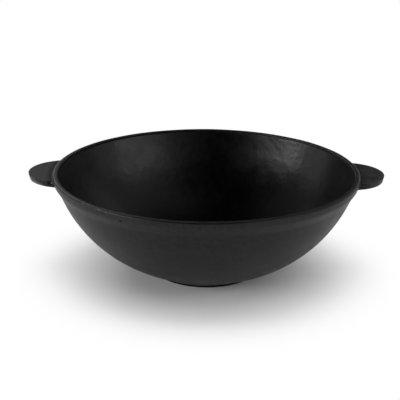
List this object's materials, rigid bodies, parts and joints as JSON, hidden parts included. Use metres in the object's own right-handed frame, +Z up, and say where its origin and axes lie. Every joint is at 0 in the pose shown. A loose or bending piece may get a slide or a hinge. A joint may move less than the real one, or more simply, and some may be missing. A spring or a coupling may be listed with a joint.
{
  "type": "cast iron wok",
  "caption": "Deep round-bellied wok cast in one piece, with a thick rim over a short collar, a small flat base and solid half-round ears to lift it by.",
  "frame": {"origin": "centre of the flat base's underside", "axes": "+Z up through the bowl's mouth, +X from the middle towards one ear, the other ear on -X"},
  "size_m": [0.3714, 0.3192, 0.11],
  "materials": {
    "iron": "black seasoned casting, fine sand texture outside, smoother satin inside"
  },
  "bodies": {
    "root": {"wok": "iron"}
  },
  "joints": []
}
